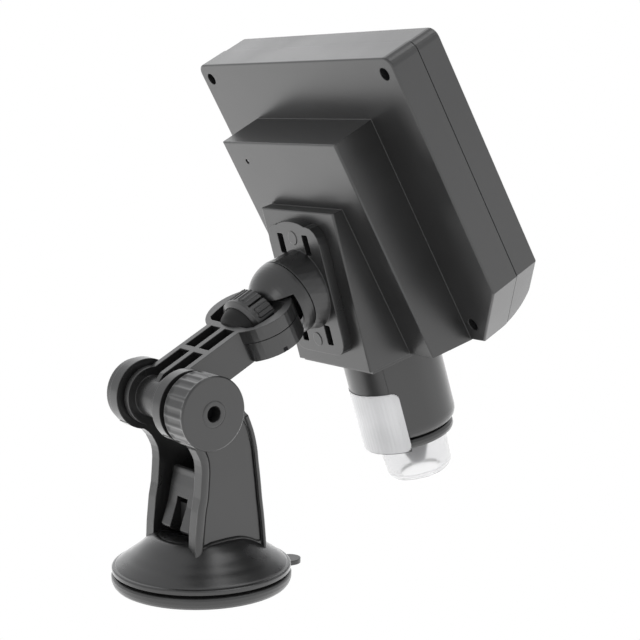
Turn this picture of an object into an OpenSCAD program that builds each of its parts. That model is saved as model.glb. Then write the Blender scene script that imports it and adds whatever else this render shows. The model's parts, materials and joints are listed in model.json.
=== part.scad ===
// Desk microscope with a built-in screen on a jointed suction stand
// Lengths in millimetres, angles in degrees
// Origin at the centre of the suction face, X along the arm pivot, Y toward the head, Z up

/* [Suction foot] */
// Radius of the soft ring
cup_r = 30.7; // [24:0.05:40]
// Height of the soft ring
cup_h = 4.3; // [3:0.1:7]
// Height of the seat of the base above the table
seat_z = 5.4; // [4:0.1:9]
// Reach of the pull tab from the cup centre
tab_reach = 38.5; // [32:0.5:48]
// Width of the pull tab
tab_w = 8; // [5:0.5:14]
// Direction of the pull tab
tab_turn = 82; // [0:1:180]

/* [Base and tower] */
// Radius of the base flange
base_r = 30.5; // [24:0.1:40]
// Height of the base dome
base_h = 18; // [14:0.5:26]
// Height of the arm pivot above the table
pivot_z = 66; // [50:0.5:90]
// Set-back of the arm pivot from the cup centre
pivot_back = 14; // [8:0.5:20]
// Radius of the eye round the pivot
eye_r = 12; // [9:0.1:15]
// Distance between the two cheeks
cheek_gap = 21; // [18:0.2:26]
// Thickness of one cheek
cheek_t = 4.3; // [3:0.1:6]
// Depth of the sunk panel in the right cheek
panel_d = 0.6; // [0.3:0.1:1]

/* [Lever] */
// Height of the lever pin when released
lever_z = 25.6; // [23:0.1:30]
// Set-back of the lever pin from the cup centre
lever_back = 3; // [1:0.1:5]
// Width of the lever
lever_w = 16; // [10:0.5:18]
// Height of the lever top above the table
lever_top = 40.5; // [36:0.5:46]

/* [Arm] */
// Rise of the arm above level
arm_rise = 26; // [0:1:60]
// Width of the arm beam
beam_w = 18.2; // [14:0.1:20]
// Top of the beam above the pivot line
beam_up = 8.35; // [7:0.1:11]
// Underside of the beam below the pivot line
beam_down = 4.2; // [3:0.1:6]
// Radius of the barrel round the pivot
barrel_r = 7; // [6:0.1:8]
// Distance from the pivot to the hoop centre
hoop_at = 42.5; // [38:0.5:50]
// Half width of the hoop
hoop_rx = 17.9; // [15:0.1:22]
// Half length of the hoop
hoop_ra = 14; // [12:0.1:18]
// Underside of the hoop below the pivot line
hoop_down = 3.7; // [2:0.1:5]
// Distance from the pivot to the centre of the holder ball
ball_at = 58.93; // [54:0.1:66]
// Height of the ball centre above the pivot line
ball_up = 3.5; // [2:0.1:5]

/* [Knobs] */
// Radius of the pivot knob
knob_r = 12.33; // [9:0.1:16]
// Width of the pivot knob
knob_w = 11.7; // [8:0.1:16]
// Flutes round the pivot knob
knob_flutes = 24; // [12:1:36]
// Radius of the thumb wheel
wheel_r = 10.9; // [9:0.1:12]
// Slits round the thumb wheel
wheel_grooves = 9; // [6:1:12]

/* [Holder] */
// Radius of the ball cap
ball_r = 13.7; // [12:0.1:16]
// Half width of the holder plate
plate_hw = 15.8; // [13:0.1:20]
// Height of the holder plate
plate_h = 46.8; // [40:0.5:56]
// Thickness of the holder plate
plate_t = 3.75; // [3:0.05:5]

/* [Screen housing] */
// Width of the housing
head_w = 120.6; // [100:0.1:150]
// Height of the housing
head_h = 109.2; // [90:0.1:130]
// Thickness of the rear shell
rear_t = 11.2; // [8:0.1:14]
// Thickness of the front shell
front_t = 10; // [7:0.1:12]
// Wall of the shells
wall = 2; // [1.5:0.1:3]
// Width of the bottom corner cuts
cut_w = 17.6; // [10:0.1:24]
// Height of the bottom corner cuts
cut_h = 21.2; // [12:0.1:30]
// Half width of the raised back box
step_hw = 35.8; // [30:0.1:45]
// Height of the raised back box behind the back face
step_out = 16.9; // [12:0.1:24]
// Distance of the raised box from the housing top
step_top = 22.1; // [15:0.1:30]
// Half width of the wedge
wedge_hw = 22.6; // [20:0.1:28]
// Distance of the wedge from the housing top
wedge_top = 46.2; // [40:0.1:60]
// Height of the wedge top edge above the raised box
wedge_step = 4.36; // [3:0.1:7]
// Tilt of the wedge face
wedge_tilt = 13.1; // [8:0.1:20]
// Pitch of the housing on the stand
head_pitch = 27.5; // [10:0.5:45]
// Roll of the housing on the stand
head_roll = -2.89; // [-8:0.01:8]
// Turn of the housing on the stand
head_turn = -5.36; // [-12:0.01:12]

/* [Screen and buttons] */
// Margin of the housing beside the window
window_side = 7.8; // [5:0.1:10]
// Margin of the housing above the window
window_top = 6; // [4.5:0.1:9]
// Height of the control bar under the window
bar_h = 37.2; // [32:0.1:44]
// Width of one button
key_w = 9; // [6:0.5:12]
// Height of one button
key_h = 5; // [4:0.5:7]
// Spacing of the buttons
key_pitch = 15; // [12:0.5:18]
// Radius of the focus wheel
focus_r = 7.6; // [6:0.1:9]
// Width of the focus wheel
focus_w = 30; // [20:1:40]

/* [Lens tube] */
// Tilt of the tube from the housing
tube_tilt = 12; // [8:0.1:20]
// Outer radius of the tube
tube_r = 17.85; // [15:0.05:22]
// Length of the tube below the housing
tube_l = 33; // [28:0.5:40]
// Radius of the ring below the tube
ring_r = 15.9; // [13:0.1:18]
// Radius of the clear cap
cap_r = 13.2; // [11:0.1:15]
// Length of the clear cap
cap_l = 14.5; // [10:0.5:20]

/* [Hidden] */

$fn = 32;
// Sides of a small round bore, a fastener and a flute
fine = 16;

// Overrun of every cut
over = 0.5;
// Gap between pieces that pass each other
gap = 0.3;
// Radial clearance of a running fit
run = 0.05;
// Clearance of a piece set in a pocket
fit = 0.1;

// Material colours
dark = [0.16, 0.16, 0.17];
grey = [0.45, 0.45, 0.47];
pale = [0.78, 0.78, 0.8];
steel = [0.65, 0.65, 0.68];
brass = [0.75, 0.6, 0.3];
glass = [0.6, 0.75, 0.85];
green = [0.1, 0.35, 0.2];

// Foot, radii and heights
cup_shares = [[0, 0], [0.935, 0], [0.965, 0.07], [0.985, 0.25], [0.998, 0.5], [1, 0.8], [0.99, 0.94],
    [0.975, 1], [0.895, 1]];
base_shares = [[1, 0], [1, 0.09], [0.987, 0.12], [0.941, 0.151], [0.885, 0.175], [0.85, 0.222],
    [0.82, 0.333], [0.702, 0.587], [0.613, 0.786], [0.52, 0.937], [0.46, 0.986], [0.41, 1], [0, 1]];
base_rise = base_h - seat_z;
cup_seat_r = 0.74 * base_r;
cup_recess_r = 13;
cup_floor = 3;
cup_step_z = 4.8;
tab_t = 1.6;
tab_z = 1.2;
cavity_r = 21;
cavity_top = 13.6;
stem_r = 2.6;
stem_foot_r = 12;
stem_foot_t = 1.7;
stem_block_x = 5.2;
stem_block_y = 7;
stem_block_top = 3.4;
stem_block_low = 4.6;
lever_pin_r = 1.5;
lever_fork = 3;
lever_fork_z = 31;
lever_arm_h = lever_top - lever_z;

// Tower outline, shares of the pivot height
cheek_shares = [[-0.2, 0.13], [-0.19, 0.25], [-0.1864, 0.3152], [-0.1712, 0.447], [-0.156, 0.52],
    [-0.1485, 0.603], [-0.1455, 0.645], [-0.147, 0.683], [-0.153, 0.712], [-0.1652, 0.7394],
    [-0.183, 0.772], [-0.2061, 0.7985], [-0.232, 0.818], [-0.2606, 0.8333], [-0.338, 0.865], [-0.21, 1],
    [-0.098, 1.131], [-0.0894, 1.1227], [-0.0227, 1.0879], [0.02, 1.063], [0.0455, 1.0379],
    [0.075, 1.005], [0.1, 0.965], [0.122, 0.925], [0.1409, 0.9061], [0.16, 0.86], [0.1788, 0.8061],
    [0.196, 0.73], [0.2045, 0.6545], [0.216, 0.56], [0.225, 0.4652], [0.2355, 0.38], [0.243, 0.303],
    [0.254, 0.1712], [0.258, 0.13]];
panel_shares = [[-0.178, 0.12], [-0.1667, 0.2591], [-0.1455, 0.4636], [-0.1242, 0.6136], [-0.1182, 0.6652],
    [-0.1227, 0.7167], [-0.135, 0.75], [-0.152, 0.78], [-0.173, 0.8], [-0.06, 0.9], [0.06, 0.95],
    [0.105, 0.895], [0.14, 0.84], [0.163, 0.77], [0.183, 0.69], [0.199, 0.6], [0.211, 0.5], [0.228, 0.35],
    [0.239, 0.2], [0.245, 0.12]];
web_t = 3;
web_shares = [[0.2045, 0.6545], [0.216, 0.56], [0.225, 0.4652], [0.2355, 0.38], [0.243, 0.303],
    [0.254, 0.1712]];
cheek_in = cheek_gap / 2;
cheek_out = cheek_in + cheek_t;
boss_r = 11.1;
boss_out = 18;
bolt_r = 2.5;
bolt_head_r = 4.6;
bolt_head_t = 3;
washer_r = 6.4;
washer_gap = 0.08;
knob_in = 16.4;
knob_out = knob_in + knob_w;
knob_hole_r = 2.57;
knob_ring_r = 3.8;
knob_hub = 0.3;
knob_chamfer = 1.3;
flute_r = 0.85;
flute_out = 0.35;
nut_r = 4.2;
nut_t = 5;
nut_in = 1.5;
nut_gap = 1.1;
bolt_end = knob_in + nut_in + nut_t + nut_gap;

// Arm
pocket_out = 6.7;
pocket_in = 1.15;
pocket_far = [18.7, 30.7];
pocket_near = [0, 16.4];
pocket_floor = -1.5;
disc_end_r = 9.9;
beam_from = 3;
beam_toe = 8;
hoop_wall_at = 33.4;
hoop_end_at = 50;
open_shares = [[-0.745, 0], [-0.93, 0.08], [-1, 0.3], [-1.04, 0.55], [-1, 0.8], [-0.93, 0.96], [-0.85, 1],
    [0.85, 1], [0.93, 0.96], [1, 0.8], [1.04, 0.55], [1, 0.3], [0.93, 0.08], [0.745, 0]];
open_hw = 13.3;
fork_r = 4.8;
fork_in = 3.8;
fork_out = 7.3;
fork_block = 4.5;
tilt_pin_r = 2;
jaw_gap = 0.3;
jaw_from = 31.3;
jaw_screw_r = 1.2;
jaw_screw_head = 2.2;
jaw_screw_x = 15.4;
jaw_screw_at = 40.5;
jaw_head_t = 1.6;
wheel_from = 34.8;
wheel_to = 46.3;
wheel_shoulder = 40.2;
slit_w = 0.7;
slit_d = 1.4;
slit_from = 40.6;
slit_share = 0.71;
dent_w = 1.9;
dent_d = 0.35;
dent_share = 0.21;
wheel_nose_r = 4.5;
screw_r = 2;
screw_from = 36;
tilt_low = -20;

// Ball cap and boss
rim_d = 4.5;
rim_r = 12.4;
slot_top = 5.5;
lip_t = 1.5;
spigot_r = 11;
spigot_in = 9.2;
spigot_l = 5.3;
spigot_step_r = 10.2;
spigot_step = 2.8;
keep_ring_r = 11.8;
keep_ring_t = 1.5;
boss_lip = 2.4;
boss_well_r = 12.1;
boss_well = 5.9;
boss_foot_r = 14.5;
key_x = 3.5;
key_front = 1.5;
key_rear = 3.5;

// Head placing, ball centre in the housing frame
ball_out = 38.64;
ball_drop = 70.13;
plate_mid = 27.3;
plate_top = 4.2;
plate_corner = 6;
slot_w = 3.6;
slot_h = 7.3;
slot_x = 7.8;
slot_z = 16.4;
disc_r = 2.5;
disc_at = 18.7;
disc_t = 0.2;

// Housing
corner_r = 3.6;
edge_r = 0.6;
low_r = 12.5;
hole_side = 5.8;
hole_inside = 2.1;
hole_under = 6.9;
hole_top_x = head_w / 2 - hole_side;
hole_top_z = 5.7;
hole_low_x = head_w / 2 - cut_w - hole_inside;
hole_low_z = head_h - hole_under;
hole_r = 2.25;
post_r = 3.4;
screw_head_r = 2.1;
screw_head_t = 2;
screw_sink = 4;
shank_r = 1.2;
screw_reach = 4.5;
shank_end = rear_t + screw_reach;
reset_x = 24.7;
reset_z = 29.8;
reset_hole_r = 1;
reset_r = 0.7;
reset_flange = 1.6;
wedge_under = 6.9;
wedge_l = head_h - wedge_top - wedge_under;
wedge_deep = step_out + wedge_step + rear_t;
lip_plate = 1.3;
lip_rear = -22.7;
lip_front = 17;
front_inset = 0.25;
rib_l = 5.6;
lip_inset = 1;
seam_w = 0.4;
seam_d = 0.5;
tube_out = 10.5;
window_w = head_w - 2 * window_side;
window_h = head_h - window_top - bar_h;
window_t = 1.2;
window_ledge = 1.6;
lcd_side = 0.25;
lcd_end = 0.6;
lcd_w = window_w + 2 * lcd_side;
lcd_h = window_h + 2 * lcd_end;
lcd_t = 2.9;
board_y = 9.2;
board_t = 1.6;
board_side = 10.3;
board_hw = head_w / 2 - board_side;
board_top = 8;
key_share = 0.1882;
key_z = window_top + window_h + key_share * bar_h;
board_under = 4;
board_low = key_z + board_under;
key_proud = 0.8;
key_flange = 0.7;
key_flange_t = 1;
key_stem_r = 1.5;
key_stem_end = 12;
focus_sink = 5.4;
focus_y = rear_t + front_t - focus_sink;
focus_share = 0.6183;
focus_z = window_top + window_h + focus_share * bar_h;
axle_r = 1.5;
axle_l = 36;
rack_pitch = 2.5;
rack_face = (focus_y + tube_out) * cos(tube_tilt) - rack_pitch
    - (head_h - focus_z - tube_out * tan(tube_tilt)) * sin(tube_tilt);
batt_w = 60;
batt_t = 8;
batt_above = 13.9;
batt_under = 25.2;
batt_top = step_top + batt_above;
batt_low = head_h - batt_under;
usb_z = 42;
card_z = 62;
usb_w = 8;
usb_h = 3;
card_w = 12;
card_h = 2.4;
socket_d = 6;
socket_sink = 0.4;
socket_wall = 0.4;
chip_hw = 7;
chip_t = 1.2;
led_size = 2.2;
reset_end = -13.8;
lug_in = 16;
lug_t = 2.5;
lug_hh = 3;
focus_edge = 0.8;
focus_flutes = 20;
focus_flute_r = 0.57;
waist_hw = 2.6;

// Tube stations below the housing
round_from = 29;
round_r = 15.2;
tube_wall = 2.2;
seam_half = 43.7;
label_half = 54;
pad_half = 53;
label_t = 0.25;
label_from = 14.4;
label_to = 36.9;
label_round = 2;
label_steps = 4;
ring_from = 33.3;
ring_to = 37.2;
ring_edge = 1.4;
cap_wall = 1.1;
cap_low_r = 12.5;
cap_round = 4;
cap_hole = 7.5;
sleeve_r = 12.6;
sleeve_in = 11;
sleeve_from = -29.2;
sleeve_to = 16;
sleeve_slot = 2.2;
carrier_from = -24;
carrier_to = 10;
nose_shares = [[1, 0], [1, 0.54], [0.867, 0.708], [0.683, 0.833], [0.483, 0.95], [0.36, 1]];
nose_r = 6;
nose_l = 24;
lens_r = 1.7;
carrier_bore = 5;
led_at = 29.7;
led_t = 1.1;
led_in = 7.2;
led_out = 15.3;
flange_t = 1.9;
flange_in = 13.6;
ring_neck_r = 13.5;
ring_bore = 12;
cap_neck_r = 12.9;
cap_neck = 3;
seam_gap = 0.15;
arm_low = 8.6;
arm_high = 11.4;
rack_high = 23;
rack_t = 2.2;
rack_hw = 1.8;
board_sq = 24;

function scaled(shares, a, b) = [for (p = shares) [p[0] * a, p[1] * b]];
function arc(c, r, from, to, n) = [for (i = [0:n]) c + r * [cos(from + (to - from) * i / n),
    sin(from + (to - from) * i / n)]];
function ellipse_points(rx, ry, n) = [for (i = [0:n - 1]) [rx * cos(360 * i / n), ry * sin(360 * i / n)]];
function rounded(w, h, r) = concat(arc([w / 2 - r, h / 2 - r], r, 0, 90, 4),
    arc([r - w / 2, h / 2 - r], r, 90, 180, 4), arc([r - w / 2, r - h / 2], r, 180, 270, 4),
    arc([w / 2 - r, r - h / 2], r, 270, 360, 4));

// Solids along the three axes
module along_x(from, to) {
    translate([from, 0, 0])
    rotate([90, 0, 90])
    linear_extrude(to - from)
    children();
}

module along_y(from, to) {
    translate([0, to, 0])
    rotate([90, 0, 0])
    linear_extrude(to - from)
    children();
}

module rod_x(r, from, to) {
    translate([from, 0, 0])
    rotate([0, 90, 0])
    cylinder(r = r, h = to - from);
}

module rod_y(r, from, to) {
    translate([0, from, 0])
    rotate([-90, 0, 0])
    cylinder(r = r, h = to - from);
}

module turned_y(points) {
    rotate([-90, 0, 0])
    rotate_extrude()
    polygon(points);
}

module block(x, y, z) {
    translate([x[0], y[0], z[0]])
    cube([x[1] - x[0], y[1] - y[0], z[1] - z[0]]);
}

// Frames
module pivot_frame() {
    translate([0, -pivot_back, pivot_z])
    children();
}

module arm_frame() {
    pivot_frame()
    rotate([arm_rise, 0, 0])
    children();
}

module ball_frame() {
    arm_frame()
    translate([0, ball_at, ball_up])
    children();
}

module head_frame() {
    ball_frame()
    rotate([-arm_rise, 0, 0])
    rotate([head_pitch, head_roll, head_turn])
    translate([0, ball_out, ball_drop])
    children();
}

// Origin where the tube leaves the housing, Z up along the tube
module tube_place() {
    translate([0, -tube_out, tube_out * tan(tube_tilt) - head_h])
    rotate([-tube_tilt, 0, 0])
    children();
}

// Origin at the middle of the wedge top edge
module wedge_place() {
    translate([0, -step_out - wedge_step, -wedge_top])
    rotate([-wedge_tilt, 0, 0])
    children();
}

module tube_frame() {
    head_frame()
    tube_place()
    children();
}

module plate_frame() {
    head_frame()
    wedge_place()
    translate([0, 0, -plate_mid])
    children();
}

module suction_cup() {
    color(dark)
    union() {
        rotate_extrude($fn = 48)
        polygon(concat(scaled(cup_shares, cup_r, cup_h), [[0.895 * cup_r, seat_z], [cup_seat_r, seat_z],
            [cup_seat_r, cup_step_z], [cup_recess_r, cup_step_z], [cup_recess_r, cup_floor],
            [0, cup_floor]]));
        rotate([0, 0, tab_turn])
        translate([0, 0, tab_z])
        linear_extrude(tab_t)
        union() {
            translate([cup_seat_r, -tab_w / 2])
            square([tab_reach - tab_w / 2 - cup_seat_r, tab_w]);
            translate([tab_reach - tab_w / 2, 0])
            circle(r = tab_w / 2);
        }
    }
}

module cheek_shape() {
    union() {
        polygon(scaled(cheek_shares, pivot_z, pivot_z));
        translate([-pivot_back, pivot_z])
        circle(r = eye_r, $fn = 56);
    }
}

module web_shape() {
    outer = scaled(web_shares, pivot_z, pivot_z);
    inner = [for (i = [len(outer) - 1:-1:0]) outer[i] - [web_t, 0]];
    polygon(concat(outer, inner));
}

module base_dome() {
    rotate_extrude($fn = 56)
    translate([0, seat_z])
    polygon(concat([[0, 0]], scaled(base_shares, base_r, base_rise)));
}

module base_tower() {
    color(dark)
    difference() {
        union() {
            base_dome();
            for (side = [-1, 1])
                along_x(side > 0 ? cheek_in : -cheek_out, side > 0 ? cheek_out : -cheek_in)
                cheek_shape();
            along_x(-cheek_in - over, cheek_in + over)
            web_shape();
            pivot_frame()
            rod_x(boss_r, -boss_out, -cheek_in);
        }
        translate([0, 0, seat_z - over])
        cylinder(r = cavity_r, h = cavity_top - seat_z + over);
        cylinder(r = stem_r + run, h = base_h + over);
        pivot_frame()
        rod_x(bolt_r, -boss_out - over, cheek_out + over);
        pivot_frame()
        rod_x(bolt_head_r + fit, -boss_out - over, -boss_out + bolt_head_t);
        difference() {
            along_x(cheek_out - panel_d, cheek_out + over)
            polygon(scaled(panel_shares, pivot_z, pivot_z));
            base_dome();
            pivot_frame()
            rod_x(eye_r, cheek_in, cheek_out + over);
        }
    }
}

module cup_stem() {
    color(grey)
    difference() {
        union() {
            translate([0, 0, cup_floor + gap])
            cylinder(r = stem_foot_r, h = stem_foot_t);
            translate([0, 0, cup_floor + gap])
            cylinder(r = stem_r, h = lever_z - cup_floor - gap);
            block([-stem_block_x / 2, stem_block_x / 2],
                [-lever_back - stem_block_y / 2, stem_block_y / 2 - lever_back],
                [lever_z - stem_block_low, lever_z + stem_block_top]);
        }
        translate([0, -lever_back, lever_z])
        rod_x(lever_pin_r, -stem_block_x, stem_block_x);
    }
}

module lever_pin() {
    color(steel)
    translate([0, -lever_back, lever_z])
    rod_x(lever_pin_r, -lever_w / 2, lever_w / 2);
}

// Lever outline, shares of the lever height above its pin
lever_shares = [[-0.168, 0.967], [-0.18, 0.86], [-0.2, 0.7785], [-0.24, 0.62], [-0.285, 0.42],
    [-0.3356, 0.1946], [-0.39, 0.05], [-0.46, -0.15], [-0.515, -0.3], [-0.503, -0.345], [-0.42, -0.41],
    [-0.3, -0.465], [-0.15, -0.476], [0.1, -0.476], [0.26, -0.38], [0.34, -0.22], [0.34, 0.05],
    [0.22, 0.25], [0.06, 0.36], [-0.08, 0.5], [-0.1, 0.7], [-0.06, 0.86], [-0.045, 0.967], [-0.06, 1],
    [-0.15, 1]];
lever_plate_shares = [[-0.168, 0.967], [-0.18, 0.86], [-0.2, 0.7785], [-0.24, 0.62], [-0.285, 0.42],
    [-0.3356, 0.1946], [-0.39, 0.05], [-0.46, -0.15], [-0.515, -0.3], [-0.36, -0.3], [-0.31, -0.15],
    [-0.24, 0.05], [-0.18, 0.1946], [-0.13, 0.42], [-0.1, 0.62], [-0.08, 0.7785], [-0.06, 0.86],
    [-0.045, 0.967], [-0.06, 1], [-0.15, 1]];

module cam_lever() {
    color(dark)
    difference() {
        translate([0, -lever_back, lever_z])
        union() {
            for (side = [-1, 1])
                along_x(side > 0 ? lever_fork : -lever_w / 2, side > 0 ? lever_w / 2 : -lever_fork)
                polygon(scaled(lever_shares, lever_arm_h, lever_arm_h));
            along_x(-lever_w / 2, lever_w / 2)
            polygon(scaled(lever_plate_shares, lever_arm_h, lever_arm_h));
        }
        block([-lever_fork, lever_fork], [-lever_top, 0], [0, lever_fork_z]);
        translate([0, -lever_back, lever_z])
        rod_x(lever_pin_r + run, -lever_w, lever_w);
    }
}

module pivot_bolt() {
    color(steel)
    pivot_frame()
    union() {
        rod_x(bolt_head_r, -boss_out + fit, -boss_out + bolt_head_t);
        rod_x(bolt_r, -boss_out + bolt_head_t, bolt_end);
    }
}

module washer(side) {
    color(steel)
    pivot_frame()
    difference() {
        rod_x(washer_r, side > 0 ? beam_w / 2 + washer_gap : -cheek_in,
            side > 0 ? cheek_in : -beam_w / 2 - washer_gap);
        rod_x(bolt_r, -cheek_out, cheek_out);
    }
}

module washer_left() {
    washer(-1);
}

module washer_right() {
    washer(1);
}

module pivot_knob() {
    color(dark)
    pivot_frame()
    difference() {
        rotate([0, 0, -90])
        turned_y([[0, knob_in], [knob_r - knob_chamfer / 2, knob_in], [knob_r, knob_in + knob_chamfer / 2],
            [knob_r, knob_out - knob_chamfer], [knob_r - knob_chamfer / 3, knob_out - knob_chamfer / 3],
            [knob_r - knob_chamfer, knob_out], [knob_ring_r, knob_out + knob_hub / 3],
            [knob_ring_r, knob_out + knob_hub], [0, knob_out + knob_hub]]);
        rod_x(knob_hole_r, knob_in - over, knob_out + over);
        rod_x(nut_r, knob_in + nut_in, knob_in + nut_in + nut_t);
        for (i = [0:knob_flutes - 1])
            rotate([360 * i / knob_flutes, 0, 0])
            translate([0, 0, knob_r + flute_out])
            rod_x(flute_r, knob_in + knob_chamfer, knob_out - 2 * knob_chamfer, $fn = fine);
    }
}

module knob_nut() {
    color(brass)
    pivot_frame()
    difference() {
        rod_x(nut_r, knob_in + nut_in, knob_in + nut_in + nut_t);
        rod_x(bolt_r + run, knob_in, knob_out);
    }
}

module beam_shape() {
    union() {
        circle(r = barrel_r);
        polygon([[0, -barrel_r], [beam_toe, -beam_down], [hoop_wall_at, -beam_down], [hoop_wall_at, beam_up],
            [beam_from, beam_up], [0, barrel_r]]);
    }
}

module hoop_shape() {
    translate([0, hoop_at])
    polygon(ellipse_points(hoop_rx, hoop_ra, 48));
}

module open_shape() {
    translate([0, hoop_wall_at])
    polygon(scaled(open_shares, open_hw, hoop_end_at - hoop_wall_at));
}

module layer(from, to) {
    translate([0, 0, from])
    linear_extrude(to - from)
    children();
}

// Space swept by the rim of the ball cap
module rim_sweep() {
    translate([0, ball_at, ball_up])
    for (t = [0:tilt_low / 4:tilt_low])
        rotate([t, 0, 0])
        difference() {
            turned_y([[rim_r - gap, -rim_d - gap], [ball_r + over, -rim_d - gap], [ball_r + over, spigot_l],
                [spigot_in - gap, spigot_l], [spigot_in - gap, -lip_t - gap],
                [rim_r - gap, -lip_t - gap]]);
            block([-ball_r, ball_r], [-ball_r, 0], [fork_r, ball_r]);
        }
}

module arm() {
    color(dark)
    arm_frame()
    difference() {
        union() {
            along_x(-beam_w / 2, beam_w / 2)
            beam_shape();
            for (side = [-1, 1])
                rod_x(disc_end_r, side > 0 ? pocket_out : -beam_w / 2, side > 0 ? beam_w / 2 : -pocket_out);
            layer(ball_up, beam_up)
            difference() {
                hoop_shape();
                open_shape();
            }
            block([-fork_out, fork_out], [hoop_end_at, ball_at - fork_block], [ball_up - fork_r, beam_up]);
            for (side = [-1, 1])
                translate([0, ball_at, ball_up])
                union() {
                    rod_x(fork_r, side > 0 ? fork_in : -fork_out, side > 0 ? fork_out : -fork_in);
                    block(side > 0 ? [fork_in, fork_out] : [-fork_out, -fork_in], [-fork_block - over, 0],
                        [-fork_r, fork_r]);
                }
        }
        rod_x(bolt_r + run, -beam_w, beam_w);
        difference() {
            for (side = [-1, 1], row = [pocket_near, pocket_far])
                block(side > 0 ? [pocket_in, pocket_out] : [-pocket_out, -pocket_in], row,
                    [pocket_floor, beam_up + over]);
            rod_x(barrel_r, -beam_w, beam_w);
        }
        rim_sweep();
        translate([0, ball_at, ball_up])
        union() {
            rod_x(fork_r + gap, -fork_in, fork_in);
            rod_x(tilt_pin_r, -hoop_rx, hoop_rx);
            block([-fork_in, fork_in], [-key_rear - 2 * gap, hoop_ra], [-hoop_ra, hoop_ra]);
        }
        translate([0, 0, ball_up])
        rod_y(screw_r + run, hoop_wall_at - over, ball_at);
        for (side = [-1, 1])
            translate([side * jaw_screw_x, jaw_screw_at, 0])
            cylinder(r = jaw_screw_r, h = beam_up - jaw_head_t);
    }
}

module lower_jaw() {
    color(dark)
    arm_frame()
    difference() {
        layer(-hoop_down, ball_up - jaw_gap)
        difference() {
            hoop_shape();
            open_shape();
        }
        block([-beam_w / 2 - fit, beam_w / 2 + fit], [0, hoop_wall_at + fit], [-beam_up, beam_up]);
        block([-hoop_rx, hoop_rx], [0, jaw_from], [-beam_up, beam_up]);
        block([-fork_out - fit, fork_out + fit], [hoop_end_at - over, ball_at],
            [ball_up - fork_r - gap, beam_up]);
        rim_sweep();
        for (side = [-1, 1])
            translate([side * jaw_screw_x, jaw_screw_at, -hoop_down - over])
            union() {
                cylinder(r = jaw_screw_r, h = beam_up);
                cylinder(r = jaw_screw_head + fit, h = jaw_head_t + over);
            }
    }
}

module jaw_screw(side) {
    color(steel)
    arm_frame()
    translate([side * jaw_screw_x, jaw_screw_at, -hoop_down])
    union() {
        cylinder(r = jaw_screw_head, h = jaw_head_t, $fn = fine);
        cylinder(r = jaw_screw_r, h = beam_up, $fn = fine);
    }
}

module jaw_screw_left() {
    jaw_screw(-1);
}

module jaw_screw_right() {
    jaw_screw(1);
}

module tilt_pin() {
    color(steel)
    ball_frame()
    rod_x(tilt_pin_r, -fork_out, fork_out);
}

// Groove with a round end, along the rim of the thumb wheel
module wheel_groove(place, w, d) {
    rotate([0, 360 * place / wheel_grooves, 0])
    translate([0, 0, wheel_r])
    union() {
        block([-w / 2, w / 2], [slit_from, wheel_to + over], [-d, slit_d]);
        translate([0, slit_from, -d])
        cylinder(r = w / 2, h = d + slit_d);
    }
}

module thumb_wheel() {
    shoulder = wheel_shoulder - wheel_from;
    color(dark)
    arm_frame()
    translate([0, 0, ball_up])
    difference() {
        turned_y(concat([[0, wheel_to], [0, wheel_from], [wheel_nose_r, wheel_from]],
            [for (i = [1:7]) [wheel_nose_r + (wheel_r - wheel_nose_r) * sin(90 * i / 8),
                wheel_from + shoulder * (1 - cos(90 * i / 8))]],
            [[wheel_r, wheel_shoulder], [wheel_r, wheel_to]]));
        rod_y(screw_r, wheel_from - over, wheel_to + over);
        for (i = [0:wheel_grooves - 1]) {
            wheel_groove(i + slit_share, slit_w, slit_d);
            wheel_groove(i + dent_share, dent_w, dent_d);
        }
    }
}

module clamp_screw() {
    color(steel)
    arm_frame()
    translate([0, 0, ball_up])
    rod_y(screw_r, screw_from, ball_at - fork_r - gap);
}

module dome_cap() {
    color(dark)
    ball_frame()
    difference() {
        union() {
            difference() {
                turned_y(concat([for (i = [0:16]) ball_r * [sin(90 * i / 16), -cos(90 * i / 16)]],
                    [[0, 0]]));
                difference() {
                    rod_y(rim_r, -rim_d, -lip_t);
                    block([-ball_r, ball_r], [-ball_r, 0], [slot_top, ball_r]);
                }
                block([-ball_r, ball_r], [-ball_r, -rim_d], [-ball_r, slot_top]);
                rod_y(spigot_in, -lip_t - over, over);
            }
            turned_y([[spigot_in, -over], [spigot_r, -over], [spigot_r, spigot_step],
                [spigot_step_r, spigot_step], [spigot_step_r, spigot_l], [spigot_in, spigot_l]]);
            rod_x(fork_r, -key_x, key_x);
            block([-key_x, key_x], [-key_rear, key_front], [0, spigot_in + over / 2]);
        }
        rod_x(tilt_pin_r + run, -fork_out, fork_out);
    }
}

module swivel_ring() {
    color(brass)
    ball_frame()
    difference() {
        rod_y(keep_ring_r, spigot_step, spigot_step + keep_ring_t);
        rod_y(spigot_step_r, 0, spigot_l);
    }
}

module plate_shape() {
    difference() {
        union() {
            translate([0, plate_mid - plate_top - plate_h / 2])
            polygon(rounded(2 * plate_hw, plate_h, plate_corner));
            translate([0, plate_mid - plate_top - plate_corner / 4])
            polygon(ellipse_points(plate_hw - plate_corner, plate_corner / 2, 32));
        }
        for (x = [-slot_x, slot_x], z = [-slot_z, slot_z])
            translate([x, z])
            polygon(rounded(slot_w, slot_h, slot_w / 6));
    }
}

module holder_plate() {
    color(dark)
    difference() {
        union() {
            plate_frame()
            along_y(-plate_t, 0)
            plate_shape();
            for (side = [-1, 1])
                plate_frame()
                translate([0, 0, side * disc_at])
                rod_y(disc_r, -plate_t - disc_t, -plate_t);
            hull() {
                ball_frame()
                rod_y(ball_r, gap, 2 * gap);
                plate_frame()
                rod_y(boss_foot_r, -plate_t, -plate_t + over);
            }
        }
        ball_frame()
        rod_y(spigot_r + run, -over, boss_lip + over);
        ball_frame()
        rod_y(boss_well_r, boss_lip, boss_well);
    }
}

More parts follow.
